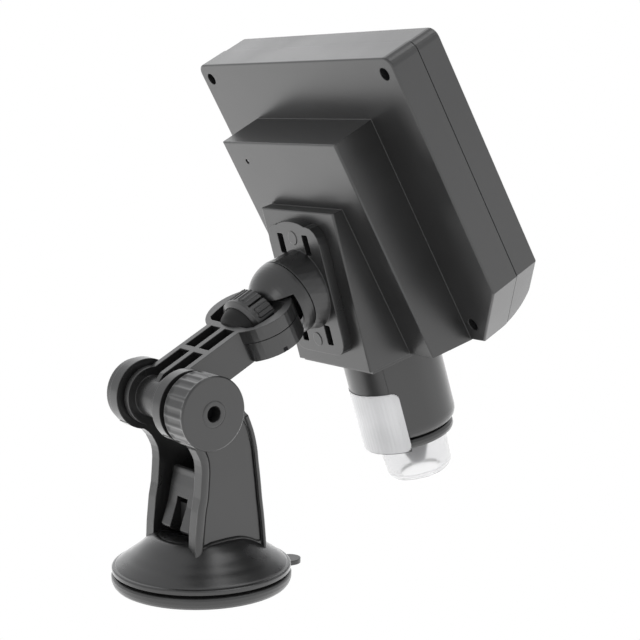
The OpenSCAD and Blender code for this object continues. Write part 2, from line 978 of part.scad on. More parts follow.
// Flat outline of the housing, drawn in by an inset
module housing_shape(inset) {
    w = head_w / 2 - inset;
    r = corner_r - inset / 2;
    low = inset - head_h;
    cut_z = cut_h - head_h;
    cut_x = head_w / 2 - cut_w;
    polygon(concat(arc([w - r, -inset - r], r, 0, 90, 5), arc([r - w, -inset - r], r, 90, 180, 5),
        [[-w, cut_z], [-cut_x, low], [cut_x, low], [w, cut_z]]));
}

// Prism along Y over a flat outline with its rear edge rounded
module soft_back(from, to, edge) {
    hull()
    for (a = [0:30:90])
        along_y(from + edge * (1 - sin(a)), to)
        offset(delta = -edge * (1 - cos(a)))
        children();
}

module box_shape(hw, top, low) {
    translate([-hw, -low])
    square([2 * hw, low - top]);
}

// Space under the housing, slanted behind the back face and level below the rest
module below_rear(rise) {
    difference() {
        tube_place()
        block([-head_w, head_w], [-head_w, head_w], [-head_w, rise]);
        block([-2 * head_w, 2 * head_w], [rise, 2 * head_w], [-3 * head_h, head_h]);
    }
    block([-head_w, head_w], [-over, head_w], [-2 * head_h, rise - head_h]);
}

// Space outside the rounded lower front edge
module low_corner(r) {
    translate([0, rear_t + front_t - low_r, low_r - head_h])
    difference() {
        block([-head_w, head_w], [0, head_w], [-head_w, 0]);
        rod_x(r, -head_w - over, head_w + over);
    }
}

module at_posts() {
    for (side = [-1, 1], spot = [[hole_top_x, hole_top_z], [hole_low_x, hole_low_z]])
        translate([side * spot[0], 0, -spot[1]])
        children();
}

module posts(from, to) {
    intersection() {
        along_y(from, to)
        housing_shape(wall / 2);
        union() {
            at_posts()
            rod_y(post_r, from, to);
            for (side = [-1, 1]) {
                block(side > 0 ? [hole_top_x, head_w / 2] : [-head_w / 2, -hole_top_x], [from, to],
                    [-hole_top_z, 0]);
                block(side > 0 ? [hole_low_x, hole_low_x + rib_l] : [-hole_low_x - rib_l, -hole_low_x],
                    [from, to], [-hole_low_z - shank_r, -hole_low_z + shank_r]);
            }
        }
    }
}

module socket_space(at, w, h) {
    block([-head_w / 2 - over, socket_d - head_w / 2], [board_y - h - fit, board_y + fit],
        [-at - w / 2 - fit, w / 2 - at + fit]);
}

module rear_shell() {
    color(dark)
    head_frame()
    difference() {
        union() {
            difference() {
                union() {
                    soft_back(0, rear_t, edge_r)
                    housing_shape(0);
                    soft_back(-step_out, wall, edge_r)
                    box_shape(step_hw, step_top, head_h + cut_h);
                    wedge_place()
                    soft_back(0, wedge_deep, edge_r)
                    box_shape(wedge_hw, 0, wedge_l + cut_h);
                }
                difference() {
                    union() {
                        along_y(wall, rear_t + over)
                        housing_shape(wall);
                        along_y(wall - step_out, wall + over)
                        box_shape(step_hw - wall, step_top + wall, head_h + cut_h);
                        wedge_place()
                        along_y(wall, wedge_deep)
                        box_shape(wedge_hw - wall, wall, wedge_l + cut_h);
                    }
                    below_rear(wall);
                }
            }
            posts(wall / 2, rear_t);
        }
        below_rear(0);
        low_corner(low_r);
        tube_place()
        translate([0, 0, -wall])
        cylinder(r = sleeve_r + fit, h = 3 * wall);
        at_posts()
        rod_y(hole_r, -over, screw_sink);
        at_posts()
        rod_y(shank_r + fit, 0, rear_t + over);
        translate([-reset_x, 0, -reset_z])
        rod_y(reset_hole_r, -step_out - over, wall - step_out + over);
        socket_space(usb_z, usb_w, usb_h);
        socket_space(card_z, card_w, card_h);
    }
}

module front_shell() {
    front_y = rear_t + front_t;
    color(dark)
    head_frame()
    difference() {
        union() {
            difference() {
                union() {
                    translate([0, front_y + rear_t + seam_w, 0])
                    mirror([0, 1, 0])
                    soft_back(rear_t + seam_w, front_y, edge_r)
                    housing_shape(front_inset);
                    along_y(rear_t, rear_t + seam_w + over)
                    housing_shape(front_inset + seam_d);
                }
                difference() {
                    along_y(rear_t - over, front_y - wall)
                    housing_shape(wall + front_inset);
                    low_corner(low_r - wall);
                }
            }
            posts(rear_t, shank_end);
            for (side = [-1, 1])
                block(side > 0 ? [lug_in, lug_in + lug_t] : [-lug_in - lug_t, -lug_in],
                    [focus_y - lug_hh, front_y - wall / 2], [-focus_z - lug_hh, -focus_z + lug_hh]);
        }
        low_corner(low_r);
        block([window_ledge - window_w / 2, window_w / 2 - window_ledge], [rear_t, front_y + over],
            [window_ledge - window_top - window_h, -window_top - window_ledge]);
        block([-window_w / 2 - fit, window_w / 2 + fit], [front_y - window_t, front_y + over],
            [-window_top - window_h - fit, fit - window_top]);
        for (i = [0:5])
            translate([(i - 2.5) * key_pitch, 0, -key_z])
            along_y(rear_t + over, front_y + over)
            polygon(rounded(key_w + 2 * gap, key_h + 2 * gap, key_h / 2));
        block([-focus_w / 2 - gap, focus_w / 2 + gap], [rear_t, front_y + over],
            [-focus_z - focus_r - gap, -focus_z + focus_r + gap]);
        translate([0, focus_y, -focus_z])
        rod_x(axle_r + run, -axle_l, axle_l);
        at_posts()
        rod_y(shank_r, 0, shank_end + over);
    }
}

module bottom_lip() {
    color(grey)
    tube_frame()
    difference() {
        block([lip_inset - wedge_hw, wedge_hw - lip_inset], [lip_rear, lip_front], [-lip_plate, -fit]);
        translate([0, 0, -2 * lip_plate])
        cylinder(r = tube_r + fit, h = 4 * lip_plate);
    }
}

module screen_window() {
    front_y = rear_t + front_t;
    color(glass)
    head_frame()
    block([-window_w / 2, window_w / 2], [front_y - window_t, front_y],
        [-window_top - window_h, -window_top]);
}

module lcd_panel() {
    back = rear_t + front_t - wall - fit;
    color(pale)
    head_frame()
    block([-lcd_w / 2, lcd_w / 2], [back - lcd_t, back], [-window_top - (window_h + lcd_h) / 2,
        (lcd_h - window_h) / 2 - window_top]);
}

module main_board() {
    color(green)
    head_frame()
    union() {
        block([-board_hw, board_hw], [board_y, board_y + board_t], [-board_low, -board_top]);
        for (i = [0:5])
            translate([(i - 2.5) * key_pitch, 0, -key_z])
            block([-key_stem_r, key_stem_r], [board_y, board_y + board_t + fit], [-key_stem_r, key_stem_r]);
        block([-chip_hw, chip_hw], [board_y - chip_t, board_y], [-board_top - 3 * chip_hw, -board_top - chip_hw]);
        block([2 * chip_hw, 3 * chip_hw], [board_y - chip_t, board_y],
            [-board_top - 3 * chip_hw, -board_top - 2 * chip_hw]);
    }
}

module battery() {
    color(pale)
    head_frame()
    block([-batt_w / 2, batt_w / 2], [wall - step_out + fit, wall - step_out + fit + batt_t],
        [-batt_low, -batt_top]);
}

module button(i) {
    front_y = rear_t + front_t;
    color(grey)
    head_frame()
    translate([(i - 3.5) * key_pitch, 0, -key_z])
    union() {
        along_y(front_y - wall - gap - key_flange_t, front_y + key_proud)
        polygon(rounded(key_w, key_h, key_h / 2 - fit));
        along_y(front_y - wall - gap - key_flange_t, front_y - wall - gap)
        polygon(rounded(key_w + 2 * key_flange, key_h + 2 * key_flange, key_h / 2));
        rod_y(key_stem_r, key_stem_end, front_y - wall, $fn = fine);
    }
}

module button_1() {
    button(1);
}

module button_2() {
    button(2);
}

module button_3() {
    button(3);
}

module button_4() {
    button(4);
}

module button_5() {
    button(5);
}

module button_6() {
    button(6);
}

module focus_frame() {
    head_frame()
    translate([0, focus_y, -focus_z])
    children();
}

module focus_wheel() {
    color(dark)
    focus_frame()
    difference() {
        rotate([0, 0, -90])
        turned_y([[0, -focus_w / 2], [focus_r - focus_edge, -focus_w / 2], [focus_r, focus_edge - focus_w / 2],
            [focus_r, -waist_hw], [rack_pitch - fit, -waist_hw], [rack_pitch - fit, waist_hw],
            [focus_r, waist_hw], [focus_r, focus_w / 2 - focus_edge], [focus_r - focus_edge, focus_w / 2],
            [0, focus_w / 2]]);
        rod_x(axle_r, -focus_w, focus_w);
        for (i = [0:focus_flutes - 1])
            rotate([360 * i / focus_flutes, 0, 0])
            translate([0, 0, focus_r + flute_out])
            rod_x(focus_flute_r, -focus_w, focus_w, $fn = fine);
    }
}

module focus_axle() {
    color(steel)
    focus_frame()
    rod_x(axle_r, -axle_l / 2, axle_l / 2);
}

module lens_carrier() {
    color(grey)
    tube_frame()
    difference() {
        union() {
            translate([0, 0, carrier_from])
            cylinder(r = sleeve_in - run, h = carrier_to - carrier_from);
            rotate_extrude()
            polygon(concat([[0, carrier_from + over], [nose_r, carrier_from + over]],
                [for (p = nose_shares) [p[0] * nose_r, carrier_from - p[1] * nose_l]],
                [[0, carrier_from - nose_l]]));
        }
        translate([0, 0, carrier_from - nose_l - over])
        cylinder(r = lens_r, h = nose_l);
        translate([0, 0, carrier_from - lens_r])
        cylinder(r = carrier_bore, h = nose_l * 2);
    }
}

module focus_rack() {
    color(grey)
    tube_frame()
    difference() {
        union() {
            block([-rack_hw, rack_hw], [carrier_bore + lens_r, rack_face], [arm_low, arm_high]);
            block([-rack_hw, rack_hw], [rack_face - rack_t, rack_face], [arm_low, rack_high]);
        }
        translate([0, 0, arm_low - over])
        cylinder(r = sleeve_in - run, h = arm_high);
    }
}

module lens_glass() {
    color(glass)
    tube_frame()
    translate([0, 0, carrier_from - nose_l + fit])
    cylinder(r = lens_r, h = lens_r);
}

module guide_sleeve() {
    color(dark)
    tube_frame()
    difference() {
        translate([0, 0, sleeve_from])
        cylinder(r = sleeve_r, h = sleeve_to - sleeve_from);
        translate([0, 0, sleeve_from - over])
        cylinder(r = sleeve_in, h = sleeve_to - sleeve_from + 2 * over);
        block([-rack_hw - gap, rack_hw + gap], [0, sleeve_r + over], [sleeve_slot, sleeve_to + over]);
    }
}

module sensor_board() {
    color(green)
    tube_frame()
    union() {
        block([-board_sq / 2, board_sq / 2], [-board_sq / 2, board_sq / 2],
            [sleeve_to, sleeve_to + board_t]);
        block([-lens_r * 2, lens_r * 2], [-lens_r * 2, lens_r * 2], [sleeve_to - chip_t, sleeve_to + over]);
    }
}

module led_board() {
    color(pale)
    tube_frame()
    difference() {
        union() {
            translate([0, 0, -led_at - led_t])
            cylinder(r = led_out, h = led_t);
            for (i = [0:7])
                rotate([0, 0, 45 * i])
                translate([(led_in + flange_in) / 2, 0, -led_at - led_t - led_size / 3])
                cylinder(r = led_size / 2, h = led_size / 3 + over, $fn = fine);
        }
        translate([0, 0, -led_at - 2 * led_t])
        cylinder(r = led_in, h = 3 * led_t);
    }
}

// Ring sector about the tube, centred on the rear
module rear_sector(half, points) {
    rotate([0, 0, -90 - half])
    rotate_extrude(angle = 2 * half)
    polygon(points);
}

tube_points = concat([[tube_r - tube_wall, -fit], [tube_r, -fit], [tube_r, -round_from]],
    [for (i = [1:6]) [round_r + (tube_r - round_r) * cos(15 * i),
        -round_from - (tube_l - round_from) * sin(15 * i)]],
    [[flange_in, -tube_l], [flange_in, flange_t - tube_l], [tube_r - tube_wall, flange_t - tube_l]]);

module tube_front() {
    color(dark)
    tube_frame()
    rotate([0, 0, 180])
    rear_sector(180 - seam_half, tube_points);
}

module tube_rear() {
    color(dark)
    tube_frame()
    rear_sector(seam_half - seam_gap, tube_points);
}

module tube_ring() {
    color(grey)
    tube_frame()
    union() {
        rotate_extrude()
        polygon([[ring_bore, flange_t - tube_l], [ring_neck_r, flange_t - tube_l],
            [ring_neck_r, -ring_from], [ring_r - ring_edge, -ring_from],
            [ring_r - ring_edge / 3, -ring_from - ring_edge / 3], [ring_r, -ring_from - ring_edge],
            [ring_r, ring_edge - ring_to], [ring_r - ring_edge / 3, ring_edge / 3 - ring_to],
            [ring_r - ring_edge, -ring_to], [cap_neck_r + run, -ring_to],
            [cap_neck_r + run, cap_neck - ring_to], [ring_bore, cap_neck - ring_to]]);
        rear_sector(pad_half, [[ring_neck_r, -ring_to], [tube_r - run, -ring_to], [tube_r - run, -ring_from],
            [ring_neck_r, -ring_from]]);
    }
}

// Nested sectors that step in toward the ends round the label's corners
module tube_label() {
    color(pale)
    tube_frame()
    for (i = [0:label_steps]) {
        short = label_round * (1 - cos(90 * i / label_steps));
        narrow = label_round * (1 - sin(90 * i / label_steps)) * 180 / (PI * tube_r);
        rear_sector(label_half - narrow, [[tube_r + fit, short - label_to],
            [tube_r + label_t, short - label_to], [tube_r + label_t, -label_from - short],
            [tube_r + fit, -label_from - short]]);
    }
}

module clear_cap() {
    outer = concat([[cap_neck_r, cap_neck - ring_to - fit], [cap_neck_r, -ring_to - fit], [cap_r, -ring_to - fit]],
        [for (i = [0:6]) [cap_low_r - cap_round * (1 - cos(15 * i)),
            -ring_to - cap_l + cap_round * (1 - sin(15 * i))]]);
    inner = concat([[cap_hole, -ring_to - cap_l], [cap_hole, cap_wall - ring_to - cap_l]],
        [for (i = [6:-1:0]) [cap_low_r - cap_round + (cap_round - cap_wall) * cos(15 * i),
            -ring_to - cap_l + cap_round - (cap_round - cap_wall) * sin(15 * i)]],
        [[cap_r - cap_wall, -ring_to - fit], [cap_neck_r - cap_wall / 2, cap_neck - ring_to - fit]]);
    color(glass)
    tube_frame()
    rotate_extrude($fn = 40)
    polygon(concat(outer, inner));
}

module socket(at, w, h) {
    color(steel)
    head_frame()
    difference() {
        block([socket_sink - head_w / 2, socket_d - head_w / 2], [board_y - h, board_y],
            [-at - w / 2, w / 2 - at]);
        block([-head_w / 2, socket_d - head_w / 2 - socket_wall],
            [board_y - h + socket_wall, board_y - socket_wall],
            [-at - w / 2 + socket_wall, w / 2 - at - socket_wall]);
    }
}

module usb_socket() {
    socket(usb_z, usb_w, usb_h);
}

module card_socket() {
    socket(card_z, card_w, card_h);
}

module reset_button() {
    color(grey)
    head_frame()
    translate([-reset_x, 0, -reset_z])
    union() {
        rod_y(reset_r, over - step_out, reset_end, $fn = fine);
        rod_y(reset_flange, wall + gap - step_out, reset_end, $fn = fine);
    }
}

module reset_switch() {
    color(dark)
    head_frame()
    translate([-reset_x, 0, -reset_z])
    block([-reset_flange, reset_flange], [reset_end + 2 * gap, board_y], [-reset_flange, reset_flange]);
}

module shell_screw(side, spot) {
    color(steel)
    head_frame()
    translate([side * spot[0], 0, -spot[1]])
    union() {
        rod_y(screw_head_r, screw_sink - screw_head_t, screw_sink, $fn = fine);
        rod_y(shank_r, screw_sink, shank_end - over, $fn = fine);
    }
}

module shell_screw_1() {
    shell_screw(-1, [hole_top_x, hole_top_z]);
}

module shell_screw_2() {
    shell_screw(1, [hole_top_x, hole_top_z]);
}

module shell_screw_3() {
    shell_screw(-1, [hole_low_x, hole_low_z]);
}

module shell_screw_4() {
    shell_screw(1, [hole_low_x, hole_low_z]);
}

suction_cup();
base_tower();
cup_stem();
lever_pin();
cam_lever();
pivot_bolt();
washer_left();
washer_right();
pivot_knob();
knob_nut();
arm();
lower_jaw();
jaw_screw_left();
jaw_screw_right();
tilt_pin();
thumb_wheel();
clamp_screw();
dome_cap();
swivel_ring();
holder_plate();
rear_shell();
front_shell();
bottom_lip();
screen_window();
lcd_panel();
main_board();
battery();
button_1();
button_2();
button_3();
button_4();
button_5();
button_6();
focus_wheel();
focus_axle();
lens_carrier();
focus_rack();
lens_glass();
guide_sleeve();
sensor_board();
led_board();
tube_front();
tube_rear();
tube_ring();
tube_label();
clear_cap();
usb_socket();
card_socket();
reset_button();
reset_switch();
shell_screw_1();
shell_screw_2();
shell_screw_3();
shell_screw_4();
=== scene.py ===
"""Desk microscope with a built-in screen: camera, light, materials and fine visual pieces."""
import json
import math

import bmesh
import bpy
from mathutils import Matrix, Vector


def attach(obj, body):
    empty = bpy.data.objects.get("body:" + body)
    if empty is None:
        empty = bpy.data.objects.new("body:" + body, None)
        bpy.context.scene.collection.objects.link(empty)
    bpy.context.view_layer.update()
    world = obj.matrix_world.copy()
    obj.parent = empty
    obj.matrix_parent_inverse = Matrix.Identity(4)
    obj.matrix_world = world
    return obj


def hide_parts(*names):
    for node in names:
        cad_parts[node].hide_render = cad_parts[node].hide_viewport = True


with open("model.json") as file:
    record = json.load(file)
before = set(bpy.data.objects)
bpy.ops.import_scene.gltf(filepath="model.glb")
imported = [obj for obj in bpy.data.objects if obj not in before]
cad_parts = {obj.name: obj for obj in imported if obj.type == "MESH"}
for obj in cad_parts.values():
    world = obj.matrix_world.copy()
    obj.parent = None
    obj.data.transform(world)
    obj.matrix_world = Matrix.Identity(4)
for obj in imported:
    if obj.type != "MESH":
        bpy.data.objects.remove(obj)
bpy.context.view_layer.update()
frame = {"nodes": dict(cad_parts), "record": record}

MM = 0.001

# Soft edges of moulded plastic: their radius, and the samples it takes
EDGE = 0.4 * MM
EDGE_SAMPLES = 6
# Grain: detail and scale of its noise, and its height
GRAIN_DETAIL = 2.0
METAL_GRAIN = 5000.0
METAL_DEPTH = 0.004 * MM
CLEAR_GRAIN = 900.0
CLEAR_DEPTH = 0.004 * MM
SCREEN_DEPTH = 0.0003 * MM
# Slow change over a surface: scale of its noise, the part of it in use, and what it changes
PATCH_SCALE = 35.0
PATCH_LOW, PATCH_HIGH = 0.35, 0.65
COLOUR_SPREAD_SHARE = 0.15
ROUGH_SPREAD_SHARE = 0.08
# Places of the colour sockets of a mix node
MIX_FACTOR, MIX_A, MIX_B, MIX_RESULT = 0, 6, 7, 2
BLACK = (0.008, 0.008, 0.0081)
SCREEN_COLOUR, SCREEN_ROUGH = (0.008, 0.009, 0.012), 0.06

# Screws and nuts of blackened steel, which sit deep in their holes
BLACKENED = ("shell_screw_", "jaw_screw_", "pivot_bolt", "knob_nut")
# Nodes in the shade of the tower, given a darker black without shine as painted shade
SHADED = ("cup_stem", "lever_pin")

# Angles in degrees up to which neighbouring faces shade as one
CRISP, SOFT = 20.0, 50.0
RIBBED, BEADED = 28.0, 35.0

# Sizes of the stand that the fine pieces follow, in millimetres like those of every fine piece
PIVOT_Z = 66.0
PIVOT_BACK = 14.0
CHEEK_OUT = 14.8
# Smooth skin of the foot's dome: radius and height, from the rim up under the cheeks
DOME_SKIN = [(29.5, 6.7), (29.25, 7.3), (28.6, 7.85), (27.5, 8.65), (26.2, 9.6), (24.7, 10.6),
             (23.1, 11.85), (21.6, 13.0), (20.2, 14.2), (18.8, 15.42), (17.3, 16.55), (15.95, 17.38),
             (14.6, 17.62)]
SKIN_IN, SKIN_DOWN = 0.9, 0.7
SKIN_STEPS = 120
# Edges of the right cheek: Y and Z as shares of the pivot's height
FRONT_EDGE_SHARES = [(-0.199, 0.13), (-0.19, 0.25), (-0.1864, 0.3152), (-0.1712, 0.447),
                     (-0.156, 0.52), (-0.1485, 0.603), (-0.1455, 0.645), (-0.147, 0.683),
                     (-0.153, 0.712), (-0.1652, 0.7394), (-0.183, 0.772), (-0.2061, 0.7985)]
REAR_EDGE_SHARES = [(0.257, 0.14), (0.2535, 0.1712), (0.243, 0.303), (0.2355, 0.38), (0.225, 0.4652),
                    (0.216, 0.56), (0.2045, 0.6545), (0.196, 0.73), (0.1788, 0.8061), (0.16, 0.86),
                    (0.1409, 0.9061)]
# Raised beads along these edges: widths, height over the cheek and depth in it
FRONT_BEAD_W, REAR_BEAD_W = 2.9, 1.3
BEAD_RISE, BEAD_SUNK = 0.45, 0.7
# Groove round the cheek's panel, drawn as a thin dark strip of painted shade: distances from the front
# and rear edges and from the dome
PANEL_FRONT, PANEL_REAR, PANEL_OVER = 3.15, 1.6, 0.9
# The painted shade strip: width, height over the cheek and depth in it
GROOVE_SHADE_W, GROOVE_SHADE_RISE, GROOVE_SHADE_SUNK = 0.4, 0.04, 0.3
# Steps across a bead and across the groove's painted shade strip, and along the panel's lower edge
BEAD_ARC, GROOVE_SHADE_ARC = 8, 4
FOOT_STEPS = 14
# Steps between neighbouring points of a smooth line
CURVE_STEPS, EDGE_STEPS = 3, 4

# Thumb wheel, turned about the arm's length. Its points are radius and place along the arm
ARM_RISE = math.radians(26.0)
WHEEL_UP = 3.5
WHEEL_R = 10.9
WHEEL_GROUPS = 9
WHEEL_NOSE = [(0.01, 32.4), (4.6, 32.4), (5.9, 32.7), (6.9, 33.5), (7.7, 34.7), (8.3, 36.2), (8.6, 38.0)]
# Steps round each group of ridges, and rows along the rim
WHEEL_STEPS, WHEEL_ROWS = 44, 40
# The rim: where it starts and ends, its shoulder, its flat ends, and its depth below the ridges
RIM_FROM, RIM_TO = 38.4, 46.2
SHOULDER_BACK, SHOULDER_RUN = 0.9, 0.15
SHOULDER_HIGH, SHOULDER_LOW, RIM_END_DROP = 0.6, 2.0, 2.5
RIM_END_R = 2.2
RIM_SINK = 0.3
# A ridge runs round each tongue on the rim; the tongues and the slit lie at shares of a group's width
RIDGE_W, TONGUE_HALF_W = 0.42, 0.85
TONGUE_FROM = 39.9
TONGUE_SHARES = (0.2, 0.48)
SLIT_SHARE, SLIT_W, SLIT_DEEP = 0.87, 0.85, 1.5
SLIT_FROM = 39.8

# Clamp knob, turned about the pivot. Its points are place along the pivot and radius
KNOB_R = 12.33
KNOB_FLUTES = 24
# Steps round each flute, and rows along the rim
KNOB_STEPS, KNOB_ROWS = 14, 24
KNOB_BACK = [(17.3, 2.57), (17.3, 11.6), (17.6, 12.15)]
KNOB_FACE = [(27.85, 12.2), (28.1, 11.85), (28.1, 4.6), (27.98, 4.45), (28.1, 4.3), (28.25, 4.0),
             (28.25, 2.75), (28.0, 2.57)]
FLUTE_FROM, FLUTE_TO, FLUTE_FADE, FLUTE_DEEP = 17.9, 27.6, 1.1, 0.42

# Signs on the buttons: depth in the face, height over it and width of their strokes
SIGN_SUNK, SIGN_RISE = 0.1, 0.12
STROKE, THICK_STROKE = 0.35, 0.4
# How near to a button's face its corners are, in metres
FACE_SLACK = 0.02 * MM

# Camera fitted to the photograph, in metres, with its lens in millimetres
EYE = Vector((0.47511, -0.33091, 0.19617))
LOOK = Vector((-0.76603, 0.6173, -0.17928))
LENS, SENSOR = 99.205, 36.0
NEAR = 0.01

# Surroundings, in metres and watts
SKY_COLOUR, WHITE = (0.985, 0.99, 1.0, 1), (1, 1, 1, 1)
SKY_STRENGTH, TABLE_GLOW = 1.3, 2.1
FLOOR_HALF, FLOOR_CELLS = 3.0, 24
# The floor's gap under the object, how far out it is flat, and its fall for each metre beyond
FLOOR_GAP, FLOOR_FLAT, FLOOR_FALL = 0.0002, 2.0, 0.01
# Where the lights point, and the name, place, side and power of each
AIM = (0.0, 0.03, 0.1)
LIGHTS = [("side", (0.9, 0.6, 0.25), 0.5, 0.5), ("above", (0.33, 0.44, 1.18), 0.7, 4.4),
          ("front", (0.3, -0.85, 0.3), 0.35, 1.0), ("rim", (-0.85, 0.45, 0.55), 0.9, 1.2)]


def shader_input(node, name, value):
    """Set a shader socket by name."""
    node.inputs[name].default_value = value


def new_material(name):
    """An empty node material with its output node."""
    mat = bpy.data.materials.new(name)
    mat.use_nodes = True
    mat.node_tree.nodes.clear()
    out = mat.node_tree.nodes.new("ShaderNodeOutputMaterial")
    return mat, mat.node_tree, out


def grain_group():
    """Group: fine moulded grain as a normal, and a mask that changes slowly over the surface."""
    group = bpy.data.node_groups.new("moulded_grain", "ShaderNodeTree")
    sockets = (("Scale", "INPUT", "Float"), ("Strength", "INPUT", "Float"), ("Depth", "INPUT", "Float"),
               ("Normal", "INPUT", "Vector"), ("Normal", "OUTPUT", "Vector"), ("Mask", "OUTPUT", "Float"))
    for name, way, kind in sockets:
        group.interface.new_socket(name, in_out=way, socket_type="NodeSocket" + kind)
    nodes, links = group.nodes, group.links
    into, out = nodes.new("NodeGroupInput"), nodes.new("NodeGroupOutput")
    place = nodes.new("ShaderNodeTexCoord")
    noise = nodes.new("ShaderNodeTexNoise")
    shader_input(noise, "Detail", GRAIN_DETAIL)
    bump = nodes.new("ShaderNodeBump")
    slow = nodes.new("ShaderNodeTexNoise")
    shader_input(slow, "Scale", PATCH_SCALE)
    links.new(place.outputs["Object"], noise.inputs["Vector"])
    links.new(place.outputs["Object"], slow.inputs["Vector"])
    links.new(into.outputs["Scale"], noise.inputs["Scale"])
    links.new(into.outputs["Strength"], bump.inputs["Strength"])
    links.new(into.outputs["Depth"], bump.inputs["Distance"])
    links.new(noise.outputs["Fac"], bump.inputs["Height"])
    links.new(into.outputs["Normal"], bump.inputs["Normal"])
    links.new(bump.outputs["Normal"], out.inputs["Normal"])
    links.new(slow.outputs["Fac"], out.inputs["Mask"])
    return group


GRAIN = grain_group()


def spread(nodes, links, mask, low, high):
    """Map the part of the mask in use to low..high."""
    ramp = nodes.new("ShaderNodeMapRange")
    shader_input(ramp, "From Min", PATCH_LOW)
    shader_input(ramp, "From Max", PATCH_HIGH)
    shader_input(ramp, "To Min", low)
    shader_input(ramp, "To Max", high)
    links.new(mask, ramp.inputs["Value"])
    return ramp.outputs["Result"]


def vary(nodes, links, mask, bsdf, colour, rough):
    """Colour and roughness that change slightly over the surface."""
    mix = nodes.new("ShaderNodeMix")
    mix.data_type = "RGBA"
    dark, pale = 1 - COLOUR_SPREAD_SHARE, 1 + COLOUR_SPREAD_SHARE
    mix.inputs[MIX_A].default_value = (*[c * dark for c in colour], 1)
    mix.inputs[MIX_B].default_value = (*[min(1.0, c * pale) for c in colour], 1)
    links.new(spread(nodes, links, mask, 0.0, 1.0), mix.inputs[MIX_FACTOR])
    links.new(mix.outputs[MIX_RESULT], bsdf.inputs["Base Color"])
    smooth, coarse = rough * (1 - ROUGH_SPREAD_SHARE), rough * (1 + ROUGH_SPREAD_SHARE)
    links.new(spread(nodes, links, mask, smooth, coarse), bsdf.inputs["Roughness"])


def add_grain(nodes, links, bsdf, surface, grain, depth):
    """Put the grain on a surface normal, into the shader, and give back the mask."""
    fine = nodes.new("ShaderNodeGroup")
    fine.node_tree = GRAIN
    shader_input(fine, "Scale", grain)
    shader_input(fine, "Strength", 1.0)
    shader_input(fine, "Depth", depth)
    links.new(surface.outputs["Normal"], fine.inputs["Normal"])
    links.new(fine.outputs["Normal"], bsdf.inputs["Normal"])
    return fine.outputs["Mask"]


def plastic(name, colour, rough, grain, depth, sheen=0.5):
    """Moulded plastic with soft edges: grain is the noise's scale, depth its height in metres."""
    mat, tree, out = new_material(name)
    nodes, links = tree.nodes, tree.links
    soft_edge = nodes.new("ShaderNodeBevel")
    soft_edge.samples = EDGE_SAMPLES
    shader_input(soft_edge, "Radius", EDGE)
    bsdf = nodes.new("ShaderNodeBsdfPrincipled")
    shader_input(bsdf, "Specular IOR Level", sheen)
    mask = add_grain(nodes, links, bsdf, soft_edge, grain, depth)
    vary(nodes, links, mask, bsdf, colour, rough)
    links.new(bsdf.outputs["BSDF"], out.inputs["Surface"])
    return mat


def polish(nodes, links, bsdf, grain, depth):
    """A fine grain on the plain surface, with its mask."""
    return add_grain(nodes, links, bsdf, nodes.new("ShaderNodeNewGeometry"), grain, depth)


def metal(name, colour, rough):
    """Metal with a faintly uneven polish."""
    mat, tree, out = new_material(name)
    nodes, links = tree.nodes, tree.links
    bsdf = nodes.new("ShaderNodeBsdfPrincipled")
    shader_input(bsdf, "Metallic", 1.0)
    mask = polish(nodes, links, bsdf, METAL_GRAIN, METAL_DEPTH)
    vary(nodes, links, mask, bsdf, colour, rough)
    links.new(bsdf.outputs["BSDF"], out.inputs["Surface"])
    return mat


def clear(name, colour, rough, ior=1.45):
    """Clear or frosted plastic and glass."""
    mat, tree, out = new_material(name)
    bsdf = tree.nodes.new("ShaderNodeBsdfPrincipled")
    shader_input(bsdf, "Base Color", (*colour, 1))
    shader_input(bsdf, "Transmission Weight", 1.0)
    shader_input(bsdf, "Roughness", rough)
    shader_input(bsdf, "IOR", ior)
    polish(tree.nodes, tree.links, bsdf, CLEAR_GRAIN, CLEAR_DEPTH)
    tree.links.new(bsdf.outputs["BSDF"], out.inputs["Surface"])
    return mat


def screen_glass():
    """Dark glossy screen cover with faint smears."""
    mat, tree, out = new_material("dark_screen")
    bsdf = tree.nodes.new("ShaderNodeBsdfPrincipled")
    mask = polish(tree.nodes, tree.links, bsdf, CLEAR_GRAIN, SCREEN_DEPTH)
    vary(tree.nodes, tree.links, mask, bsdf, SCREEN_COLOUR, SCREEN_ROUGH)
    tree.links.new(bsdf.outputs["BSDF"], out.inputs["Surface"])
    return mat


def make_materials():
    """The material slots of the record, and three finishes for single pieces."""
    return {
        "shell_plastic": plastic("shell_plastic", BLACK, 0.31, 2600.0, 0.03 * MM),
        "stand_plastic": plastic("stand_plastic", BLACK, 0.29, 3200.0, 0.02 * MM),
        "black_plastic": plastic("black_plastic", BLACK, 0.33, 3000.0, 0.02 * MM),
        # Painted shade: a darker, less shiny black for pieces that lie in shade
        "painted_shade_black": plastic("painted_shade_black", (0.006, 0.006, 0.006), 0.55, 2000.0, 0.02 * MM, 0.15),
        "sign_white": plastic("sign_white", (0.6, 0.6, 0.6), 0.45, 2000.0, 0.005 * MM),
        "soft_ring": plastic("soft_ring", (0.008, 0.008, 0.008), 0.42, 900.0, 0.01 * MM),
        "grey_plastic": plastic("grey_plastic", (0.16, 0.16, 0.165), 0.45, 3000.0, 0.02 * MM),
        "label_film": plastic("label_film", (0.36, 0.36, 0.365), 0.3, 2000.0, 0.005 * MM),
        "panel": plastic("panel", (0.02, 0.02, 0.025), 0.2, 2000.0, 0.005 * MM),
        "board": plastic("board", (0.02, 0.12, 0.05), 0.4, 1500.0, 0.01 * MM),
        "steel": metal("steel", (0.3, 0.3, 0.31), 0.35),
        "brass": metal("brass", (0.55, 0.42, 0.2), 0.35),
        "dark_steel": metal("dark_steel", (0.012, 0.012, 0.013), 0.5),
        "cell": metal("cell", (0.72, 0.73, 0.75), 0.4),
        "clear": clear("clear", (0.88, 0.88, 0.885), 0.18),
        "lens": clear("lens", (0.7, 0.8, 0.9), 0.02, 1.6),
        "screen": screen_glass(),
    }


